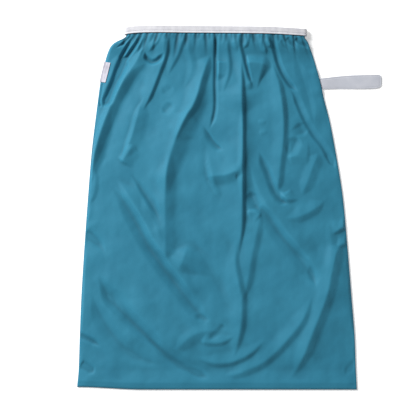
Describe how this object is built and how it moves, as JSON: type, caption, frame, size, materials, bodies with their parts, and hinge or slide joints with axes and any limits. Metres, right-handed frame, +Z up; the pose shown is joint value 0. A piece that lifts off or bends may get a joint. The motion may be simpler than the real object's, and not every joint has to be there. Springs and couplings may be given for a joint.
{
  "type": "diaper pail liner",
  "caption": "Soft laminated-cloth pail liner laid flat, its mouth gathered into an elastic loop, with a strap from one side seam and a bare label on the other.",
  "frame": {"origin": "the middle of the back panel's face, on the surface that the bag lies on", "axes": "+Y from the hem to the mouth, +X towards the side with the strap, +Z up out of the front panel"},
  "size_m": [0.598, 0.7129, 0.0307],
  "materials": {
    "cloth": "blue-green knit cloth with a laminated inside, soft satin sheen",
    "elastic": "white ribbed knitted elastic",
    "strap": "white folded cloth strap, stitched",
    "label": "white woven ribbon, bare"
  },
  "bodies": {
    "root": {"front_panel": "cloth", "back_panel": "cloth", "elastic_band": "elastic", "side_strap": "strap", "side_label": "label"}
  },
  "joints": []
}
